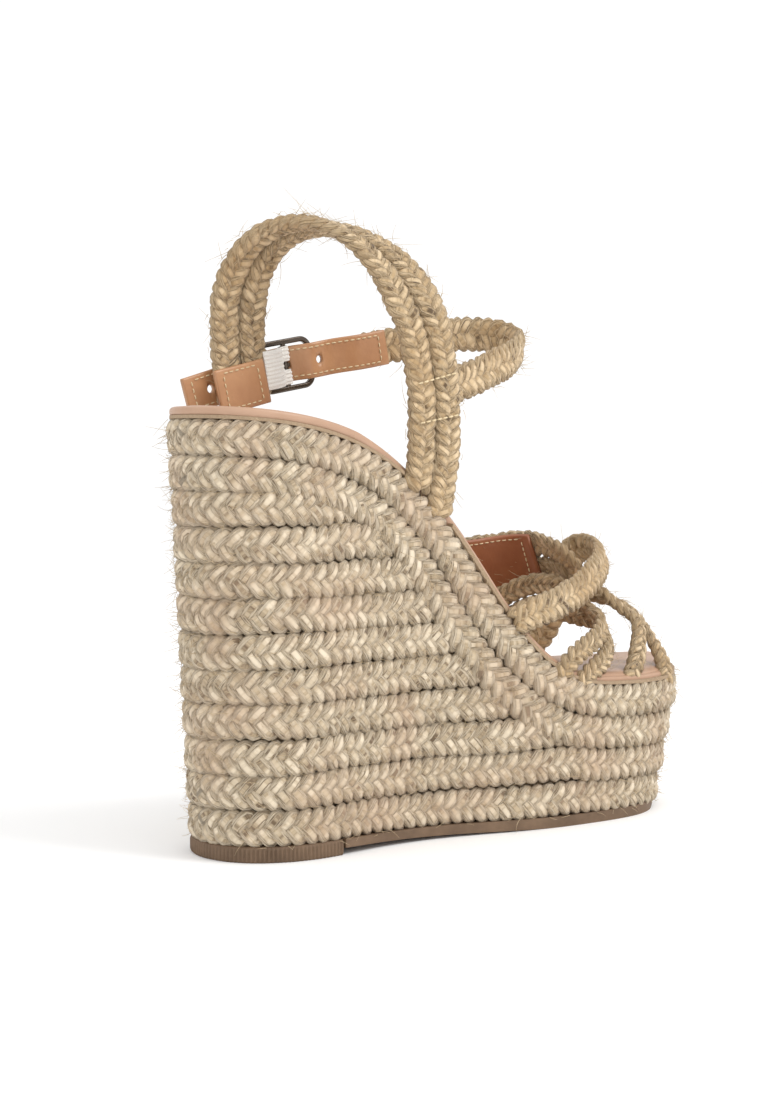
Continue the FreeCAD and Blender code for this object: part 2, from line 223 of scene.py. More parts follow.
def tangents(path, closed=False):
    if closed:
        return unit(np.roll(path, -1, 0) - np.roll(path, 1, 0))
    return unit(np.gradient(path, axis=0))


# ---------- the wedge's walls ----------

OUTLINE_STEPS = 24        # samples between two points of the outline
EDGE_STEPS = 30           # and of the top edge


def ring(inset, heel_share, toe_share):
    """The sole's outline moved in by inset, with shares of the full tapers at the heel and at the toe."""
    points = [(0.0, 0.0)] + [(s, -y) for s, y in INNER_SIDE] + [TIP] + OUTER_SIDE
    moved = []
    for i, (s, y) in enumerate(points):
        back = points[i - 1]
        ahead = points[(i + 1) % len(points)]
        normal = unit(np.array([ahead[1] - back[1], back[0] - ahead[0]], float))
        part = 2 * s / LENGTH - 1
        share = toe_share if part > 0 else heel_share
        lean = -TOE_TAPER * part if part > 0 else -HEEL_TAPER * part
        moved.append(np.array([s + lean * share, y]) - normal * (inset + SIDE_TAPER * share))
    return spline(moved, OUTLINE_STEPS, closed=True)


def profile(depth):
    """Heights of the top edge moved down by depth, at right angles to itself."""
    p = np.array(TOP_EDGE, float)
    ahead = np.vstack([p[1:], p[-1:]])
    back = np.vstack([p[:1], p[:-1]])
    along = unit(ahead - back)
    down = np.stack([along[:, 1], -along[:, 0]], 1)
    moved = p + down * depth
    moved[0, 0] = p[0, 0]
    moved[-1, 0] = p[-1, 0]
    return spline(moved, EDGE_STEPS)


def height_at(s, depth):
    """Height of the top edge, moved down by depth, at stations s."""
    line = profile(depth)
    return np.interp(s, line[:, 0], line[:, 1])


def wall(height, inset):
    """The closed outline at given heights (one, or one for each sample), moved inwards by inset."""
    bottom, middle, top = ring(inset, 1, 1), ring(inset, 1 - TOE_Z / TOP_Z, 0), ring(inset, 0, 0)
    z = np.broadcast_to(np.asarray(height, float), (len(bottom),))
    low = np.clip(z / TOE_Z, 0, 1)[:, None]
    high = np.clip((z - TOE_Z) / (OUTLINE_Z - TOE_Z), 0, 1)[:, None]
    plan = bottom * (1 - low) + middle * low
    plan = plan + (top - middle) * high
    return np.column_stack([plan, z])


def sloping_wall(depth, inset):
    """The closed outline that follows the top edge at a depth below it."""
    path = wall(TOE_Z, inset)
    for _ in range(4):
        path = wall(height_at(path[:, 0], depth), inset)
    return path


def plan_normals(path):
    """Level directions out of a closed outline."""
    t = np.roll(path, -1, 0) - np.roll(path, 1, 0)
    return unit(np.column_stack([t[:, 1], -t[:, 0], np.zeros(len(t))]))


def open_stretch(keep):
    """Indices of a closed outline's kept samples, in order from a gap on."""
    order = np.roll(np.arange(len(keep)), -int(np.argmax(~keep)))
    return order[keep[order]]


# ---------- meshes ----------

def add_mesh(name, points, faces, material, uv=None, smooth=True):
    """An object from points in metres; uv has one row for each point."""
    mesh = bpy.data.meshes.new(name)
    mesh.from_pydata([tuple(p) for p in points], [], faces)
    if uv is not None:
        layer = mesh.uv_layers.new(name="strand")
        loops = np.empty(len(mesh.loops), np.int32)
        mesh.loops.foreach_get("vertex_index", loops)
        layer.data.foreach_set("uv", np.asarray(uv, np.float32)[loops].ravel())
    mesh.polygons.foreach_set("use_smooth", [smooth] * len(mesh.polygons))
    mesh.materials.append(material)
    mesh.update()
    piece = bpy.data.objects.new(name, mesh)
    bpy.context.scene.collection.objects.link(piece)
    return piece


def tube(rings, closed=False, first=0):
    """Quads for rings (n, m, 3) of a tube, with its ends capped when it is open."""
    n, m = rings.shape[:2]
    faces = []
    for i in range(n if closed else n - 1):
        here, ahead = first + i * m, first + (i + 1) % n * m
        for k in range(m):
            beside = (k + 1) % m
            faces.append((here + k, here + beside, ahead + beside, ahead + k))
    if not closed:
        faces.append(tuple(first + k for k in reversed(range(m))))
        faces.append(tuple(first + (n - 1) * m + k for k in range(m)))
    return faces


def gather(name, tubes, material, body, replaces=()):
    """One piece from several tubes, each (rings, uv, closed). A blended piece has no body of its own."""
    points, uvs, faces, first = [], [], [], 0
    for rings, uv, closed in tubes:
        points.append(rings.reshape(-1, 3))
        uvs.append(uv.reshape(-1, 2))
        faces += tube(rings, closed, first)
        first += rings.shape[0] * rings.shape[1]
    piece = add_mesh(name, to_frame(np.vstack(points)), faces, material, np.vstack(uvs))
    if body:
        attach(piece, body)
    if replaces:
        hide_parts(*replaces)
    return piece


def single(name, rings, material, body, replaces=(), closed=False):
    """One piece that is one tube."""
    return gather(name, [(rings, strip_uv(rings), closed)], material, body, replaces)


def strip_uv(rings):
    n, m = rings.shape[:2]
    u, v = np.meshgrid(np.arange(n) / 10, np.arange(m) / m, indexing="ij")
    return np.stack([u, v], -1)


def boxy(wave, power):
    """A cosine or sine drawn out towards a square shape."""
    return np.sign(wave) * abs(wave) ** power


# Shape of a plait
AROUND = 14                         # points round a strand
STRAND_W, STRAND_T = 0.200, 0.30    # half sizes of a strand, in shares of the plait's width and thickness
EDGE_IN = 0.85                      # how far in from the edge a strand turns, in its half widths
TURN_EDGE = 0.97                    # how sharply a leg turns back at the edge
SHARP_SHARE, ROUND_SHARE = 0.8, 0.2
RISE, EDGE_DIP = 0.21, 0.05         # over and under the other strands, and down at the edge
UNEVEN = 0.07                       # of the plait's rhythm and of a strand's size
UNEVEN_WAVES = (3, 7, 13, 29)
SWELL_LENGTH, TWIST_LENGTH = 23, 19
YARNS, YARN_DEPTH = 6, 0.03         # yarns that show on a strand, and how far they stand out of it
STRAND_SIDES, STRAND_TOP = 0.85, 0.6    # squareness of a strand's section: 1 is round


def braid_tubes(path, normals, width, thick, period, step, seed, closed=False, wider=0.0):
    """Three strands plaited flat along a path: a herringbone of slanting legs.

    wider, a number or one for each sample, adds to the width.
    """
    grow = np.broadcast_to(wider, (len(path),))[:, None]
    data, at, total = evenly(path, step, closed, np.hstack([normals, grow]))
    line = data[:, :3]
    wide = (width + data[:, 6:7]) / width
    t = tangents(line, closed)
    out = square_to(t, data[:, 3:6])
    across = np.cross(t, out)
    rng = np.random.default_rng(seed)
    share = at / total
    turns = max(1, round(total / period)) if closed else total / period
    phase = share * TURN * turns + rng.uniform(0, TURN)
    for k in UNEVEN_WAVES:
        phase += rng.normal(0, UNEVEN) * np.sin(TURN * k * share + rng.uniform(0, 6.28))
    strand_w = width * STRAND_W
    strand_t = thick * STRAND_T
    swing = width / 2 - strand_w * EDGE_IN
    swells = max(2, round(total / SWELL_LENGTH))
    twist = share * TURN * max(1, round(total / TWIST_LENGTH))
    angle = circle_angles(AROUND)
    fold = np.abs((angle / math.pi + 0.5) % 2 - 1)
    tubes = []
    for k in range(3):
        a = phase + TURN * k / 3
        sharp = np.arcsin(TURN_EDGE * np.sin(a)) / math.asin(TURN_EDGE)
        leg = (SHARP_SHARE * sharp + ROUND_SHARE * np.sin(a))[:, None]
        rise = thick * RISE * np.sin(2 * a)[:, None] - thick * EDGE_DIP * leg**4
        centre = line + across * swing * leg * wide + out * rise
        ts = tangents(centre, closed)
        ns = square_to(ts, out)
        ws = np.cross(ts, ns)
        size = (1 + UNEVEN * np.sin(share * TURN * swells + k * 2))[:, None]
        lobes = 1 + YARN_DEPTH * np.cos(YARNS * angle[None, :] + twist[:, None] + k)
        flat = boxy(np.cos(angle), STRAND_SIDES)[None, :] * lobes * strand_w * size * wide
        tall = boxy(np.sin(angle), STRAND_TOP)[None, :] * lobes * strand_t * size
        rings = centre[:, None, :] + ws[:, None, :] * flat[..., None] + ns[:, None, :] * tall[..., None]
        # u runs along the strand in centimetres, v folds over it; each strand has its own stretch of v
        u = np.broadcast_to((at / 10)[:, None], (len(at), AROUND))
        v = np.broadcast_to((fold + 1.37 * k + 4.1 * seed)[None, :], (len(at), AROUND))
        tubes.append((rings, np.stack([u, v], -1), closed))
    return tubes


# ---------- materials ----------

BLACK, WHITE = (0, 0, 0), (1, 1, 1)


class Graph:
    """A short way to write a material's nodes."""

    def __init__(self, name):
        self.material = bpy.data.materials.new(name)
        self.material.use_nodes = True
        self.tree = self.material.node_tree
        self.shader = self.tree.nodes["Principled BSDF"]

    def node(self, kind, inputs=None, **settings):
        made = self.tree.nodes.new(kind)
        for key, value in settings.items():
            setattr(made, key, value)
        for key, value in (inputs or {}).items():
            self.put(made.inputs[key], value)
        return made

    def put(self, socket, value):
        if isinstance(value, bpy.types.NodeSocket):
            self.tree.links.new(value, socket)
        else:
            socket.default_value = value

    def place(self):
        return self.node("ShaderNodeTexCoord").outputs["Object"]

    def strand(self):
        return self.node("ShaderNodeUVMap", uv_map="strand").outputs["UV"]

    def scaled(self, vector, scale):
        return self.node("ShaderNodeMapping", {"Vector": vector, "Scale": scale}).outputs[0]

    def noise(self, vector, scale, detail=4.0, rough=0.6):
        made = self.node("ShaderNodeTexNoise", {"Vector": vector, "Scale": scale, "Detail": detail,
                                                "Roughness": rough})
        return made.outputs["Fac"]

    def ramp(self, fac, stops):
        made = self.node("ShaderNodeValToRGB", {"Fac": fac})
        line = made.color_ramp
        while len(line.elements) < len(stops):
            line.elements.new(0.5)
        for element, (at, colour) in zip(line.elements, stops):
            element.position = at
            element.color = (*colour, 1)
        return made.outputs["Color"]

    def mix(self, fac, a, b, blend="MIX"):
        """Socket a mixed with b, which is a socket or a colour."""
        made = self.node("ShaderNodeMix", data_type="RGBA", blend_type=blend)
        self.put(made.inputs["Factor"], fac)
        self.put(made.inputs["A"], a)
        self.put(made.inputs["B"], b if isinstance(b, bpy.types.NodeSocket) else (*b, 1))
        return made.outputs["Result"]

    def math(self, operation, a, b):
        made = self.node("ShaderNodeMath", operation=operation)
        self.put(made.inputs[0], a)
        self.put(made.inputs[1], b)
        return made.outputs[0]

    def bump(self, height, strength, distance):
        made = self.node("ShaderNodeBump", {"Height": height, "Strength": strength, "Distance": distance})
        return made.outputs["Normal"]

    def finish(self, colour, rough, normal=None, **inputs):
        self.put(self.shader.inputs["Base Color"], colour)
        self.put(self.shader.inputs["Roughness"], rough)
        if normal is not None:
            self.put(self.shader.inputs["Normal"], normal)
        for key, value in inputs.items():
            self.put(self.shader.inputs[key.replace("_", " ")], value)
        return self.material


def jute_material(name, dark, mid, light, blush):
    """Raw jute: fine fibres along each strand, darker between them, with slow changes of tone."""
    g = Graph(name)
    strand = g.strand()
    place = g.place()
    bundles = g.noise(g.scaled(strand, (0.8, 4.0, 1.0)), scale=3.2, detail=2.0, rough=0.6)
    fibres = g.noise(g.scaled(strand, (2.0, 8.0, 1.0)), scale=3.4, detail=3.0, rough=0.7)
    both = g.math("ADD", g.math("MULTIPLY", bundles, 0.5), g.math("MULTIPLY", fibres, 0.5))
    colour = g.ramp(both, [(0.39, dark), (0.47, mid), (0.57, light)])
    patches = g.ramp(g.noise(place, scale=38.0, detail=2.0, rough=0.5), [(0.45, BLACK), (0.7, WHITE)])
    colour = g.mix(g.math("MULTIPLY", patches, 0.55), colour, blush)
    tones = g.noise(place, scale=130.0, detail=2.0, rough=0.5)
    colour = g.mix(0.5, colour, g.ramp(tones, [(0.3, (0.80, 0.79, 0.77)), (0.7, WHITE)]), "MULTIPLY")
    normal = g.bump(both, strength=1.0, distance=0.0014)
    return g.finish(colour, 0.85, normal, Sheen_Weight=0.12, Sheen_Roughness=0.6)


def leather_material(name, dark, light, grain=900.0, rough=0.42):
    """Smooth leather with fine pores and creases; grain is how many pores there are to a metre."""
    g = Graph(name)
    place = g.place()
    tone = g.noise(place, scale=60.0, detail=3.0, rough=0.6)
    colour = g.ramp(tone, [(0.32, dark), (0.68, light)])
    pores = g.node("ShaderNodeTexVoronoi", {"Vector": place, "Scale": grain},
                   feature="SMOOTH_F1").outputs["Distance"]
    creases = g.noise(place, scale=grain * 0.35, detail=4.0, rough=0.7)
    height = g.math("ADD", g.math("MULTIPLY", pores, 0.6), creases)
    normal = g.bump(height, strength=0.25, distance=0.0003)
    gloss = g.math("ADD", g.math("MULTIPLY", g.noise(place, scale=200.0), 0.2), rough - 0.1)
    return g.finish(colour, gloss, normal)


def rubber_material():
    g = Graph("brown_rubber")
    place = g.place()
    colour = g.ramp(g.noise(place, scale=90.0), [(0.3, (0.11, 0.065, 0.035)), (0.7, (0.19, 0.118, 0.068))])
    grit = g.noise(place, scale=1500.0, detail=3.0)
    return g.finish(colour, 0.62, g.bump(grit, strength=0.3, distance=0.0003))


def metal_material():
    g = Graph("dark_polished_metal")
    place = g.scaled(g.place(), (1.0, 1.0, 4.0))
    gloss = g.math("ADD", g.math("MULTIPLY", g.noise(place, scale=700.0), 0.18), 0.14)
    colour = g.ramp(g.noise(place, scale=120.0), [(0.3, (0.07, 0.055, 0.045)), (0.7, (0.14, 0.115, 0.095))])
    return g.finish(colour, gloss, Metallic=1.0)


def plain_material(name, dark, light, scale, rough, bump):
    """A matt material with specks between two tones."""
    g = Graph(name)
    speck = g.noise(g.place(), scale)
    colour = g.ramp(speck, [(0.3, dark), (0.7, light)])
    return g.finish(colour, rough, g.bump(speck, strength=bump, distance=0.0004))


WEDGE_JUTE = jute_material("wedge_jute", (0.15, 0.10, 0.055), (0.50, 0.395, 0.262), (0.74, 0.63, 0.475),
                           (0.54, 0.375, 0.25))
STRAP_JUTE = jute_material("strap_jute", (0.11, 0.066, 0.028), (0.45, 0.315, 0.168), (0.68, 0.52, 0.325),
                           (0.46, 0.29, 0.13))
TAN_LEATHER = leather_material("tan_leather", (0.39, 0.185, 0.085), (0.50, 0.265, 0.130), rough=0.36)
DARK_LEATHER = leather_material("dark_leather", (0.26, 0.085, 0.035), (0.34, 0.125, 0.055), rough=0.38)
NUDE_LEATHER = leather_material("nude_leather", (0.42, 0.255, 0.165), (0.48, 0.30, 0.20), grain=1400.0)
RUBBER = rubber_material()
METAL = metal_material()
THREAD = plain_material("pale_thread", (0.60, 0.46, 0.26), (0.80, 0.68, 0.45), 3000.0, 0.7, 0.4)
ELASTIC = plain_material("off_white_elastic", (0.70, 0.67, 0.63), (0.84, 0.82, 0.78), 2500.0, 0.85, 0.12)
CORK = plain_material("cork", (0.26, 0.18, 0.11), (0.42, 0.31, 0.20), 700.0, 0.9, 0.6)
BOARD = plain_material("fibre_board", (0.30, 0.21, 0.13), (0.40, 0.29, 0.19), 1200.0, 0.9, 0.4)
HAIR = plain_material("stray_fibre", (0.42, 0.30, 0.17), (0.66, 0.53, 0.35), 900.0, 0.7, 0.2)

# What make_hairs() lets fibres stand out of: (path, normals, width, thickness, body, amount, whether the
# plait has the wedge behind it)
hair_sources = []


# ---------- wedge braids ----------

def wedge_plait(name, node, path, normals, width, closed, seed):
    tubes = braid_tubes(path, normals, width, ROW_PLAIT_T, ROW_PERIOD, 0.75, seed, closed=closed)
    gather(name, tubes, WEDGE_JUTE, ROOT, (node,))
    hair_sources.append((path, normals, width, ROW_PLAIT_T, ROOT, 1.0, True))


def make_trims():
    """Two plaits side by side along the top edge, all round the wedge."""
    for i, place in enumerate(("upper", "lower")):
        path = sloping_wall((i + 0.5) * ROW_H, JUTE_T / 2 - TRIM_OUT)
        wedge_plait("trim_" + place + "_plait", "trim_braid_" + place, path, plan_normals(path),
                    ROW_H + ROW_OVERLAP, True, i)


def make_base_rows():
    """The lowest rows, all round the wedge. They dip where the sole lifts off the floor at the toe."""
    for i in range(BASE_ROWS):
        z = LIFT_H + (i + 0.5) * ROW_H
        path = wall(z, JUTE_T / 2)
        floor = np.interp(path[:, 0], *zip(*BASE_FLOOR))
        path[:, 2] = z - (LIFT_H - floor) * (1 - i / BASE_ROWS) + BASE_LIFT * i
        top = height_at(path[:, 0], 2 * ROW_H)
        path[:, 2] = np.minimum(path[:, 2], top - (BASE_ROWS - 0.5 - i) * ROW_H)
        label = "%02d" % (i + 1)
        wedge_plait("base_plait_" + label, "base_braid_" + label, path, plan_normals(path),
                    ROW_H + ROW_OVERLAP, True, 10 + i)


def make_side_rows():
    """Level rows round the heel, whose two ends run in under the lower trim."""
    for i in range(BASE_ROWS, ROWS - 2):
        z = LIFT_H + (i + 0.5) * ROW_H
        whole = wall(z, JUTE_T / 2)
        edge = height_at(whole[:, 0], 2 * ROW_H)
        keep = (z - ROW_END * ROW_H < edge) & (whole[:, 0] < SIDE_ROWS_END)
        order = open_stretch(keep)
        path = whole[order]
        normals = plan_normals(whole)[order]
        under = np.clip((z + ROW_H * 0.5 - edge[order]) / (ROW_H * 0.9), 0, 1)
        path = path - normals * (ROW_END_SINK * under**2)[:, None]
        # the rows are laid by hand, so they wander a little
        path[:, 2] += 0.35 * np.sin(path[:, 0] / 17 + i * 2.1) + 0.2 * np.sin(path[:, 1] / 9 + i)
        label = "%02d" % (i + 1)
        wedge_plait("side_plait_" + label, "side_braid_" + label, path, normals,
                    ROW_H + SIDE_ROW_OVERLAP, False, 20 + i)


# ---------- straps ----------

def from_ankle(p):
    """Outwards for the heel strap: sideways, turning upwards above a height of 192."""
    return unit(np.column_stack([0 * p[:, 0], p[:, 1], np.maximum(p[:, 2] - 192, 0) * 1.2 + 0.01]))


def from_leg(p):
    """Outwards for the ankle strap: sideways, turning forwards past station 128."""
    ahead = np.maximum(p[:, 0] - 128, 0)
    return unit(np.column_stack([ahead, p[:, 1] * np.where(ahead > 0, 1.6, 1.0), 0 * ahead]))


def from_foot(p):
    """Outwards for the vamp: sideways, turning forwards past station 150 and upwards above a height of 80."""
    high = np.clip((p[:, 2] - 55) / 40, 0, 1)
    return unit(np.column_stack([np.maximum(p[:, 0] - 150, 0) * 0.7 * high, p[:, 1],
                                 np.maximum(p[:, 2] - 80, 0) * 0.8 + 0.01]))


def strap_lines(route, outward):
    """Middle, outward and sideways directions, half plait distance and added width along a route."""
    samples = spline(route, 10)
    centre = samples[:, :3]
    t = tangents(centre)
    out = square_to(t, outward(centre))
    wider = samples[:, 4] if samples.shape[1] > 4 else np.zeros(len(samples))
    return centre, out, np.cross(t, out), samples[:, 3:4], wider


def strap_plait(name, node, route, outward, side, width, thick, body, seed):
    centre, out, across, spread, wider = strap_lines(route, outward)
    path = centre + across * spread * side
    seen = path[:, 2] > height_at(path[:, 0], 0) - BURIED
    path, out = path[seen], out[seen]
    tubes = braid_tubes(path, out, width, thick, STRAP_PERIOD, 0.6, seed, wider=wider[seen])
    hair_sources.append((path, out, width, thick, body or LOOP, 0.9, False))
    return gather(name, tubes, STRAP_JUTE, body, (node,))


def double_strap(name, route, outward, width, thick, body, seed):
    return [strap_plait(name + "_plait_" + label, name + "_braid_" + label, route, outward, side, width,
                        thick, body, seed + side) for side, label in ((-1, "a"), (1, "b"))]


def make_straps():
    for piece in double_strap("heel_strap", HEEL_STRAP, from_ankle, BRAID_W, BRAID_T, None, 40):
        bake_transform(piece)
    double_strap("vamp_outer_rear_strap", REAR_TO_FRONT, from_foot, VAMP_W, VAMP_T, ROOT, 50)
    double_strap("vamp_middle_strap", MIDDLE, from_foot, VAMP_W, VAMP_T, ROOT, 70)
    strap_plait("vamp_inner_rear_strap_plait", "vamp_inner_rear_strap_braid", FRONT_TO_REAR, from_foot, 0,
                SINGLE_W, VAMP_T, ROOT, 60)
    strap_plait("ankle_strap_plait", "ankle_strap_braid", FRONT_STRAP, from_leg, 0,
                ANKLE_W, ANKLE_T, LOOP, 80)


# ---------- leather strips, elastic and stitches ----------

def strip_rings(centre, out, width, section):
    """Rings of a leather strip; section is a list of (across, out) in halves of its width and thickness."""
    t = tangents(centre)
    out = square_to(t, out)
    across = np.cross(t, out)
    shape = np.array(section, float)
    flat = across[:, None, :] * (shape[:, 0] * width / 2)[None, :, None]
    tall = out[:, None, :] * (shape[:, 1] * LEATHER_T / 2)[None, :, None]
    return centre[:, None, :] + flat + tall


def leather_section(edge=0.12):
    """Two layers glued back to back: softly rounded edges with a fine groove between the layers."""
    quarter = [(1 - edge, 1.0), (1 - edge * 0.35, 0.86), (1.0, 0.5), (1.0, 0.16), (1 - edge * 0.3, 0.0)]
    right = quarter + [(x, -z) for x, z in reversed(quarter[:-1])]
    left = [(-x, -z) for x, z in right]
    steps = [(x, -1.0) for x in (0.5, 0.0, -0.5)]
    back = [(x, 1.0) for x in (-0.5, 0.0, 0.5)]
    return right + steps + left + back


def strip_line(route):
    """Even points along a leather strip on the ankle, and the directions to the outer side there."""
    line = evenly(spline(route, 12), LEATHER_STEP)[0]
    return line, np.tile([0.0, 1.0, 0.0], (len(line), 1))


def stitch_tubes(path, out, pitch, length, radius):
    """Short raised threads in a row along a path that lies on a surface."""
    joined, _, total = evenly(path, 0.4, extra=out)
    line, normal = joined[:, :3], unit(joined[:, 3:])
    run = np.linspace(0, total, len(line))
    share = np.linspace(-1, 1, 7)
    angle = circle_angles(8)
    size = radius * np.sqrt(np.clip(1 - (0.97 * share) ** 4, 0.05, 1))
    arch = radius * 1.1 * np.cos(1.3 * share)
    tubes = []
    for k in range(int(total / pitch)):
        at = (k + 0.5) * pitch + share / 2 * length
        centre = np.stack([np.interp(at, run, line[:, i]) for i in range(3)], 1)
        n = np.stack([np.interp(at, run, normal[:, i]) for i in range(3)], 1)
        centre = centre + n * arch[:, None]
        w = np.cross(tangents(centre), n)
        rings = (centre[:, None, :] + w[:, None, :] * (np.cos(angle)[None, :] * size[:, None])[..., None]
                 + n[:, None, :] * (np.sin(angle)[None, :] * size[:, None])[..., None])
        tubes.append((rings, strip_uv(rings), False))
    return tubes


def edge_stitches(name, centre, out, width, body, faces=(-1, 1)):
    """Stitch lines along both edges of a leather strip, and across its ends."""
    t = tangents(centre)
    out = square_to(t, out)
    across = np.cross(t, out)
    reach = width / 2 - STITCH_INSET
    tubes = []
    for face in faces:
        lines = []
        for side in (-1, 1):
            path = centre + across * side * reach + out * face * LEATHER_T / 2
            lines.append((path[4:-4], out[4:-4] * face))
        for i in (4, -5):
            sweep = np.linspace(-1, 1, 9)[:, None] * reach
            path = centre[i] + across[i] * sweep + out[i] * face * LEATHER_T / 2
            lines.append((path, np.tile(out[i] * face, (9, 1))))
        for path, normal in lines:
            tubes += stitch_tubes(path, normal, STITCH_PITCH, STITCH_PITCH * STITCH_SHARE, STITCH_R)
    gather(name, tubes, THREAD, body)


def punch(piece, centres):
    """Cuts round holes through a strip, along Y."""
    angle = circle_angles(24)
    circle = np.stack([np.cos(angle) * HOLE_R, 0 * angle, np.sin(angle) * HOLE_R], 1)
    for centre in centres:
        rings = np.stack([centre + circle + np.array([0, d, 0]) for d in (-6.0, 6.0)])
        faces = [tuple(reversed(face)) for face in tube(rings)]
        cutter = add_mesh("cutter", to_frame(rings), faces, DARK_LEATHER)
        cut = piece.modifiers.new("hole", "BOOLEAN")
        cut.operation = "DIFFERENCE"
        cut.object = cutter
        bpy.context.view_layer.update()
        graph = bpy.context.evaluated_depsgraph_get()
        mesh = bpy.data.meshes.new_from_object(piece.evaluated_get(graph))
        piece.modifiers.clear()
        piece.data = mesh
        bpy.data.objects.remove(cutter)


def make_billet():
    centre, out = strip_line(BILLET)
    rings = strip_rings(centre, out, ANKLE_W, leather_section())
    piece = single("billet_leather", rings, TAN_LEATHER, LOOP)
    in_use = BAR[0] + HOLE_PAST_BAR
    stations = [in_use + k * HOLE_PITCH for k in range(-3, 2)] + [in_use - HOLE_WEAR, in_use + HOLE_WEAR]
    punch(piece, [centre[np.argmin(abs(centre[:, 0] - s))] for s in stations])
    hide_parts("ankle_billet")
    edge_stitches("billet_stitches", centre, out, ANKLE_W, LOOP)


def make_tab():
    centre, out = strip_line(TAB)
    rings = strip_rings(centre, out, TAB_W, leather_section())
    single("tab_leather", rings, TAN_LEATHER, LOOP, ("heel_strap_tab",))
    edge_stitches("tab_stitches", centre, out, TAB_W, LOOP, faces=(-1,))


def make_patch():
    """The lining sewn inside the outer rear strap, along its top."""
    centre, out, _, _, wider = strap_lines(REAR_TO_FRONT, from_foot)
    line = centre[PATCH_SAMPLES] - out[PATCH_SAMPLES] * (VAMP_T + LEATHER_T) / 2
    out = out[PATCH_SAMPLES]
    width = PATCH_W + wider[PATCH_SAMPLES.start]
    rings = strip_rings(line, out, width, leather_section(0.06))
    single("vamp_patch_leather", rings, DARK_LEATHER, ROOT, ("vamp_lining_patch",))
    edge_stitches("vamp_patch_stitches", line, out, width, ROOT, faces=(-1,))


def tilted(points):
    """Turned about the bar's middle with the buckle."""
    c, s = math.cos(TILT), math.sin(TILT)
    x, y, z = np.moveaxis(np.array(points, float) - BAR, -1, 0)
    return np.stack([x * c + z * s, y, -x * s + z * c], -1) + BAR


def make_elastic():
    """A ribbed band that goes round the bar and back to the tab, parted for the prong."""
    x0, y0, z0 = BAR
    bend = ELASTIC_BEND
    lower = [(50.9, 21.5), (54.0, 21.5), (57.2, 22.3), (60.0, 24.2), (62.8, 26.9), (65.2, y0 - bend)]
    turn = [(x0 + bend * math.cos(a), y0 + bend * math.sin(a)) for a in np.radians([-60, -10, 40, 90, 130])]
    back = [(65.0, y0 + 0.25), (63.2, 28.9), (61.4, 26.9)]
    centre = evenly(spline([(x, y, z0) for x, y in lower + turn + back], 6), 0.35)[0]
    t = tangents(centre)
    out = unit(np.cross(t, np.tile(UP, (len(t), 1))))
    parted = int(np.argmax(centre[:, 0] > PARTED_FROM))
    half = ELASTIC_W / 2
    sweep = np.linspace(0, 1, 60)
    edges = np.clip(np.minimum(sweep, 1 - sweep) * 18, 0.25, 1)
    tubes = []
    for low, high, stretch in ((-half, half, slice(0, parted + 1)), (-half, -PRONG_ROOM, slice(parted, None)),
                               (PRONG_ROOM, half, slice(parted, None))):
        wide = low + (high - low) * sweep
        ridge = (0.34 + 0.16 * np.cos(wide / ELASTIC_W * TURN * ELASTIC_RIBS)) * edges
        section = np.concatenate([np.stack([wide, ridge], 1), np.stack([wide, -ridge], 1)[::-1]])
        rings = tilted(centre[stretch, None, :] + UP[None, None, :] * section[None, :, 0:1]
                       + out[stretch, None, :] * section[None, :, 1:2])
        tubes.append((rings, strip_uv(rings), False))
    gather("ribbed_elastic", tubes, ELASTIC, LOOP, ("elastic_loop",))


SEAM_HEIGHTS = (150.5, 164.0)
SEAM_REACH = 9.2          # each way from the strap's middle
SEAM_SLOPE = 0.12
SEAM_PROUD = 0.15         # of the plaits' faces


def make_strap_seams():
    """Stitch lines where the ankle strap is sewn behind the heel strap's near leg."""
    centre, out, across, _, _ = strap_lines(HEEL_STRAP, from_ankle)
    near_leg = slice(0, 60)
    sweep = np.linspace(-SEAM_REACH, SEAM_REACH, 24)[:, None]
    tubes = []
    for z in SEAM_HEIGHTS:
        i = int(np.argmin(abs(centre[near_leg, 2] - z)))
        path = centre[i] + across[i] * sweep + out[i] * (BRAID_T / 2 + SEAM_PROUD)
        path[:, 2] += sweep[:, 0] * SEAM_SLOPE * (1 if across[i][0] > 0 else -1)
        tubes += stitch_tubes(path, np.tile(out[i], (24, 1)), pitch=2.6, length=2.1, radius=0.34)
    gather("heel_strap_seams", tubes, THREAD, LOOP)


# ---------- insole ----------

PAD_INSET = 4.6           # inside the outline
PAD_RISE = 4.4            # of its face above the top edge
PAD_T = 2.2
PAD_DROP, PAD_ROLL = 1.5, 1.6     # how far its rim is drawn down, and over what width
RIM_INSET, RIM_RISE = 2.9, 2.6    # of the bound rim's middle
RIM_HALF_W, RIM_HALF_H = 2.2, 1.7
RIM_IN, RIM_DOWN = 2.4, 1.4       # by which the rim moves in and down past the heel
RIM_FROM, RIM_OVER = 55, 30       # station where it starts to move, and over what length


def insole_edges(inset):
    """The inner and the outer side's edge of the outline at its top, each from heel to toe."""
    edge = ring(inset, 0, 0)
    edge = np.roll(edge, -int(np.argmin(edge[:, 0])), 0)
    tip = int(np.argmax(edge[:, 0]))
    return edge[:tip + 1], np.vstack([edge[tip:], edge[:1]])[::-1]


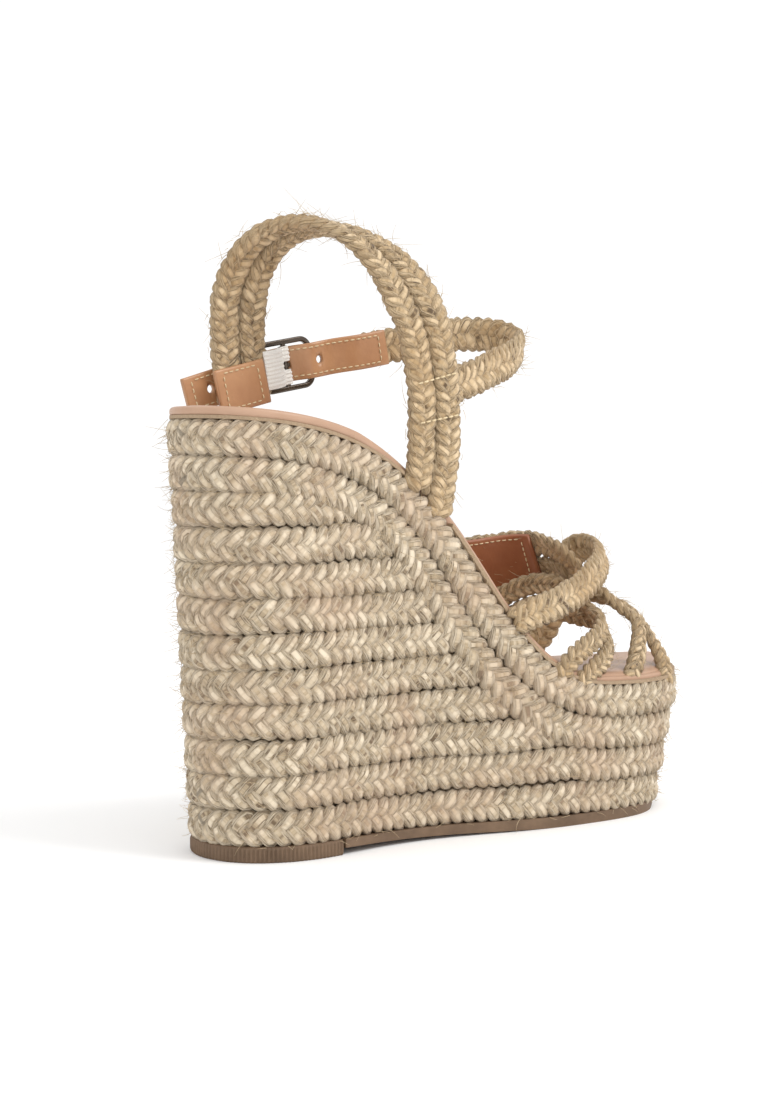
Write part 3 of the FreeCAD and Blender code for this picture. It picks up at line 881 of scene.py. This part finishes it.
def make_insole_pad():
    """Leather over thin foam: slightly crowned, drawn down where it meets the bound rim."""
    inner, outer = insole_edges(PAD_INSET)
    first, last = inner[0, 0], inner[-1, 0]
    stations = first + (last - first) * (0.5 - 0.5 * np.cos(math.pi * np.linspace(0, 1, 150)))
    inner_y = np.interp(stations, inner[:, 0], inner[:, 1])[:, None]
    outer_y = np.interp(stations, outer[:, 0], outer[:, 1])[:, None]
    spread = np.sin(np.linspace(-1, 1, 33) * math.pi / 2)
    y = (inner_y + outer_y) / 2 + (outer_y - inner_y) / 2 * spread[None, :]
    room = (outer_y - inner_y) / 2 * (1 - abs(spread))[None, :]
    drop = PAD_DROP * np.exp(-np.minimum(room, 40) / PAD_ROLL)
    z = height_at(stations, -PAD_RISE)[:, None] - drop + 0.25
    x = np.broadcast_to(stations[:, None], y.shape)
    top = np.stack([x, y, z], -1)
    under = top - PAD_T * UP
    rings = np.concatenate([top, under[:, ::-1]], 1)
    pad = single("insole_pad", rings, NUDE_LEATHER, ROOT, ("sock_lining", "insole_foam"))


def make_binding():
    """A rolled leather rim round the insole; past the heel it runs just inside the top braid."""
    path = sloping_wall(-RIM_RISE, RIM_INSET)
    normals = plan_normals(path)
    past_heel = np.clip((path[:, 0] - RIM_FROM) / RIM_OVER, 0, 1)[:, None]
    path = path - normals * (RIM_IN * past_heel) - UP * (RIM_DOWN * past_heel)
    data = evenly(path, 1.2, True, extra=normals)[0]
    line, out = data[:, :3], unit(data[:, 3:])
    up = np.cross(out, tangents(line, True))
    up = unit(up) * np.sign(up[:, 2:3])
    angle = circle_angles(20)
    flat = boxy(np.cos(angle), 0.75) * RIM_HALF_W
    tall = boxy(np.sin(angle), 0.75) * RIM_HALF_H
    rings = line[:, None, :] + out[:, None, :] * flat[None, :, None] + up[:, None, :] * tall[None, :, None]
    single("bound_rim", rings, NUDE_LEATHER, ROOT, ("insole_binding",), closed=True)


# ---------- heel lift ----------

RIB_PITCH = 1.5
RIB_DEPTH = 0.28
LIFT_SIDE = [(0.0, -0.5, 0.35), (0.35, 0.0, 0.35), (1.1, 0.12, 1.0), (4.3, 0.12, 1.0), (4.9, 0.0, 0.35),
             (5.45, -0.3, 0.35)]      # (height, how far out, share of the ribs' depth)


def make_heel_lift():
    """A rubber lift whose side is cut into fine upright ribs, with a square front."""
    outline = wall(2.5, 0.35)
    path = outline[open_stretch(outline[:, 0] < LIFT_END)]
    data, at, _ = evenly(np.vstack([path, path[:1]]), 0.22)
    line = data[:-1]
    t = tangents(line, True)
    out = unit(np.column_stack([t[:, 1], -t[:, 0], 0 * t[:, 0]]))
    ribs = np.clip(np.sin(at[:-1] / RIB_PITCH * TURN) * 1.6, -1, 1)[:, None] * RIB_DEPTH
    rings = []
    for z, grow, share in LIFT_SIDE:
        level = line + out * (grow + ribs * share)
        level[:, 2] = z
        rings.append(level)
    rings = np.stack(rings)
    single("ribbed_heel_lift", rings, RUBBER, ROOT, ("heel_lift",))


# ---------- stray fibres ----------

HAIR_R = 0.115
WEDGE_HAIRS = 1.2         # to a millimetre of plait, on the wedge and the vamp
ANKLE_HAIRS = 2.2         # and on the straps round the ankle
OUTSIDE_SHARE = 0.65      # of a strap's fibres that stand out on its outer side


def make_hairs(body, name, density):
    """Loose fibres that stand out of one body's plaits."""
    rng = np.random.default_rng(11)
    steps = np.linspace(0, 1, 5)[:, None]
    size = HAIR_R * (1 - 0.6 * steps)
    points, faces, first = [], [], 0
    for path, normals, width, thick, owner, amount, backed in hair_sources:
        if owner != body:
            continue
        data, _, total = evenly(path, 1.0, extra=normals)
        line, out = data[:, :3], unit(data[:, 3:6])
        t = tangents(line)
        across = np.cross(t, out)
        for _ in range(int(total * density * amount)):
            i = rng.integers(4, len(line) - 4)
            face = 1 if backed or rng.random() < OUTSIDE_SHARE else -1
            start = line[i] + across[i] * rng.uniform(-0.5, 0.5) * width + out[i] * face * thick * 0.40
            lean = rng.normal(0, 0.55)
            heading = unit(t[i] * rng.choice([-1, 1]) + across[i] * lean
                           + out[i] * face * rng.uniform(0.1, 1.1))
            curl = unit(rng.normal(0, 1, 3)) * rng.uniform(0.1, 0.5)
            length = rng.gamma(3.0, 1.1) + 1.0
            centre = start + heading * steps * length + curl * (steps**2) * length
            centre[:, 2] = np.maximum(centre[:, 2], 0.4)
            side = unit(np.cross(heading, out[i] + 0.01))
            lift = np.cross(heading, side)
            rings = np.stack([centre + (side * math.cos(a) + lift * math.sin(a)) * size
                              for a in (0, 2.094, 4.189)], 1)
            points.append(rings.reshape(-1, 3))
            faces += tube(rings, False, first)
            first += len(points[-1])
    piece = add_mesh(name, to_frame(np.vstack(points)), faces, HAIR)
    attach(piece, body)


# ---------- carried-over CAD pieces, camera, floor and light ----------

CAMERA_PLACE = (-0.4034, -0.5685, 0.141)
CAMERA_DOWN = 3.0             # degrees below level
CAMERA_FROM_BEHIND = 39.0     # degrees from the sole's side view towards the heel
WORLD_LIGHT = 1.06
FLOOR_REACH = 6.0


def dress_cad():
    """Materials for the pieces whose CAD meshes are shown."""
    looks = {"wedge_core": CORK, "insole_board": BOARD, "outsole": RUBBER, "buckle_frame": METAL,
             "buckle_prong": METAL}
    for node, material in looks.items():
        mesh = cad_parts[node].data
        mesh.materials.clear()
        mesh.materials.append(material)


def make_camera():
    data = bpy.data.cameras.new("camera")
    data.sensor_fit = "VERTICAL"
    data.sensor_height = 24.0
    data.lens = 44.07
    camera = bpy.data.objects.new("camera", data)
    bpy.context.scene.collection.objects.link(camera)
    camera.location = CAMERA_PLACE
    camera.rotation_euler = (math.radians(90 - CAMERA_DOWN), 0, math.radians(-CAMERA_FROM_BEHIND))
    bpy.context.scene.camera = camera


def area_light(name, place, aim, size, power):
    data = bpy.data.lights.new(name, "AREA")
    data.size = size
    data.energy = power
    light = bpy.data.objects.new(name, data)
    light.location = place
    light.rotation_euler = (Vector(aim) - Vector(place)).to_track_quat("-Z", "Y").to_euler()
    bpy.context.scene.collection.objects.link(light)


def make_studio():
    g = Graph("studio_floor")
    pale = g.ramp(g.noise(g.place(), scale=3.0), [(0.0, (0.95, 0.95, 0.95)), (1.0, (0.97, 0.97, 0.97))])
    floor_look = g.finish(pale, 0.9)
    corners = [(x * FLOOR_REACH, y * FLOOR_REACH, 0) for x, y in ((-1, -1), (1, -1), (1, 1), (-1, 1))]
    floor = add_mesh("floor", corners, [(0, 1, 2, 3)], floor_look, smooth=False)
    world = bpy.data.worlds.new("studio")
    bpy.context.scene.world = world
    world.use_nodes = True
    world.node_tree.nodes["Background"].inputs["Color"].default_value = (1, 1, 1, 1)
    world.node_tree.nodes["Background"].inputs["Strength"].default_value = WORLD_LIGHT
    area_light("key", (0.5, -0.9, 1.2), aim=(0.05, 0, 0.08), size=0.5, power=9)
    area_light("fill", (-0.9, -1.0, 0.6), aim=(0.08, 0, 0.08), size=0.8, power=2)
    bpy.context.scene.view_settings.view_transform = "Standard"


def main():
    make_trims()
    make_base_rows()
    make_side_rows()
    make_straps()
    make_billet()
    make_tab()
    make_patch()
    make_elastic()
    make_strap_seams()
    make_insole_pad()
    make_binding()
    make_heel_lift()
    make_hairs(ROOT, "stray_fibres_wedge", WEDGE_HAIRS)
    make_hairs(LOOP, "stray_fibres_ankle", ANKLE_HAIRS)
    dress_cad()
    make_camera()
    make_studio()


main()
